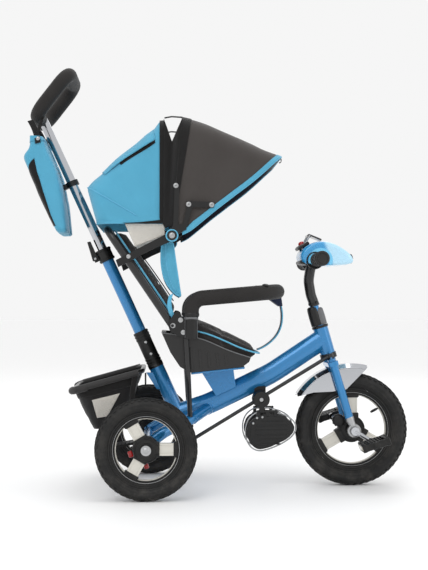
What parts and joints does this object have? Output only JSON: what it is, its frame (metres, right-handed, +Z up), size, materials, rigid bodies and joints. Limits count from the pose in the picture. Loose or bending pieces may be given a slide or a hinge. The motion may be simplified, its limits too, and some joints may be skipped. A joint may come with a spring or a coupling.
{
  "type": "children's push tricycle",
  "caption": "Children's push tricycle with a folding canopy, padded safety bar, reclining seat, rear cloth basket and a telescoping parent handle that steers the front wheel.",
  "frame": {"origin": "on the floor, under the middle of the overall box", "axes": "+X forwards, +Y to the rider's left, +Z up"},
  "size_m": [1.029, 0.49, 1.0989],
  "materials": {
    "frame_paint": "metallic blue gloss",
    "black_metal": "satin black",
    "chrome": "mirror",
    "steel": "satin",
    "spoke_silver": "satin silver",
    "black_plastic": "grained",
    "seat_plastic": "satin",
    "tyre": "matte",
    "foam": "closed-cell foam",
    "grip_rubber": "matte",
    "canopy_blue": "woven polyester",
    "canopy_black": "woven polyester",
    "seat_cloth": "woven polyester",
    "bag_blue": "woven polyester",
    "basket_cloth": "nylon",
    "console_blue": "gloss",
    "lens": "clear",
    "red_plastic": "satin"
  },
  "bodies": {
    "frame": {"main_tube": "frame_paint", "head_tube": "frame_paint", "rear_yoke": "frame_paint", "pole_socket": "frame_paint", "seat_bracket": "frame_paint", "headset_cups": "black_plastic", "rear_axle": "steel", "seat_pan": "seat_plastic", "seat_cushion": "seat_cloth", "seat_struts": "black_metal", "side_brackets": "black_plastic", "crotch_strap": "seat_cloth", "basket_rim": "black_metal", "basket_bag": "basket_cloth", "rod_guide": "black_plastic", "brake_hangers": "black_metal"},
    "backrest": {"backrest_frame": "black_metal", "backrest_pad": "seat_cloth", "backrest_wings": "canopy_blue", "canopy_arms": "black_plastic", "canopy_rear_bows": "black_metal", "canopy_rear_cloth": "canopy_blue"},
    "canopy_front": {"canopy_front_bows": "black_metal", "canopy_front_cloth": "canopy_black", "canopy_braces": "black_plastic"},
    "bumper_bar": {"bumper_tube": "black_metal", "bumper_foam": "foam"},
    "fork": {"fork_frame": "frame_paint", "mudguard": "chrome", "stem_cover": "black_plastic", "handlebar": "black_metal", "grips": "grip_rubber", "console_shell": "console_blue", "console_panel": "black_plastic", "headlight": "lens"},
    "mirror": {"console_mirror": "black_plastic"},
    "button": {"horn_button": "red_plastic"},
    "front_wheel": {"front_tyre": "tyre", "front_rim": "black_plastic", "front_hub": "spoke_silver"},
    "crankset": {"crank": "chrome"},
    "pedal_l": {"pedal_left": "black_plastic"},
    "pedal_r": {"pedal_right": "black_plastic"},
    "wheel_rear_left": {"rear_left_tyre": "tyre", "rear_left_rim": "black_plastic", "rear_left_hub": "spoke_silver"},
    "wheel_rear_right": {"rear_right_tyre": "tyre", "rear_right_rim": "black_plastic", "rear_right_hub": "spoke_silver"},
    "pole_base": {"pole_lower": "frame_paint", "pole_collars": "black_plastic"},
    "lever": {"clamp_lever": "black_plastic"},
    "push_handle": {"pole_upper": "chrome", "handle_foam": "foam", "bag": "bag_blue", "bag_clip": "black_plastic"},
    "link_rod": {"steering_rod": "black_metal"},
    "footrest_l": {"footrest_left": "black_plastic"},
    "footrest_r": {"footrest_right": "black_plastic"},
    "foot_brake": {"brake_pedal": "black_metal"}
  },
  "joints": [
    {"name": "backrest_recline", "type": "hinge", "parent": "frame", "child": "backrest", "pos_m": [-0.1138, 0, 0.4288], "axis": [0, 1, 0], "range_deg": [0, 16]},
    {"name": "canopy_fold", "type": "hinge", "parent": "backrest", "child": "canopy_front", "pos_m": [-0.1152, 0, 0.6555], "axis": [0, -1, 0], "range_deg": [0, 52]},
    {"name": "bumper_lift", "type": "slide", "parent": "frame", "child": "bumper_bar", "axis": [0, 0, 1], "range_m": [0, 0.035]},
    {"name": "steering", "type": "hinge", "parent": "frame", "child": "fork", "pos_m": [0.3045, 0, 0.346], "axis": [-0.2773, 0, 0.9608], "range_deg": [-32, 32]},
    {"name": "mirror_tilt", "type": "hinge", "parent": "fork", "child": "mirror", "pos_m": [0.2505, 0, 0.665], "axis": [0, 1, 0], "range_deg": [-50, 0]},
    {"name": "horn_press", "type": "slide", "parent": "fork", "child": "button", "axis": [0.5, 0, -0.866], "range_m": [0, 0.0025], "stiffness_N_per_m": 300, "springref_m": -0.001},
    {"name": "front_wheel_spin", "type": "hinge", "parent": "fork", "child": "front_wheel", "pos_m": [0.365, 0, 0.15], "axis": [0, 1, 0], "continuous": true},
    {"name": "crank_spin", "type": "hinge", "parent": "fork", "child": "crankset", "pos_m": [0.365, 0, 0.15], "axis": [0, 1, 0], "continuous": true},
    {"name": "pedal_left_spin", "type": "hinge", "parent": "crankset", "child": "pedal_l", "pos_m": [0.32514, 0.12, 0.17491], "axis": [0, 1, 0], "continuous": true},
    {"name": "pedal_right_spin", "type": "hinge", "parent": "crankset", "child": "pedal_r", "pos_m": [0.40486, -0.12, 0.12509], "axis": [0, 1, 0], "continuous": true},
    {"name": "rear_left_spin", "type": "hinge", "parent": "frame", "child": "wheel_rear_left", "pos_m": [-0.1785, 0.215, 0.127], "axis": [0, 1, 0], "continuous": true},
    {"name": "rear_right_spin", "type": "hinge", "parent": "frame", "child": "wheel_rear_right", "pos_m": [-0.1785, -0.215, 0.127], "axis": [0, 1, 0], "continuous": true},
    {"name": "pole_turn", "type": "hinge", "parent": "frame", "child": "pole_base", "pos_m": [-0.1087, 0, 0.2147], "axis": [-0.4179, 0, 0.9085], "range_deg": [-32, 32]},
    {"name": "clamp_open", "type": "hinge", "parent": "pole_base", "child": "lever", "pos_m": [-0.31709, 0, 0.60316], "axis": [0, -1, 0], "range_deg": [0, 55]},
    {"name": "pole_telescope", "type": "slide", "parent": "pole_base", "child": "push_handle", "axis": [-0.4179, 0, 0.9085], "range_m": [-0.06, 0.05]},
    {"name": "link_swing", "type": "hinge", "parent": "fork", "child": "link_rod", "pos_m": [0.30408, -0.038, 0.34744], "axis": [-0.2773, 0, 0.9608], "range_deg": [-32, 32]},
    {"name": "footrest_left_fold", "type": "hinge", "parent": "frame", "child": "footrest_l", "pos_m": [0.1195, 0.058, 0.202], "axis": [1, 0, 0], "range_deg": [0, 88]},
    {"name": "footrest_right_fold", "type": "hinge", "parent": "frame", "child": "footrest_r", "pos_m": [0.1195, -0.058, 0.202], "axis": [-1, 0, 0], "range_deg": [0, 88]},
    {"name": "brake_press", "type": "hinge", "parent": "frame", "child": "foot_brake", "pos_m": [-0.2085, 0, 0.118], "axis": [0, -1, 0], "range_deg": [0, 12]}
  ],
  "couplings": [
    {"joint": "crank_spin", "follows": "front_wheel_spin", "ratio": 1},
    {"joint": "pole_turn", "follows": "steering", "ratio": 1},
    {"joint": "link_swing", "follows": "steering", "ratio": -1}
  ]
}
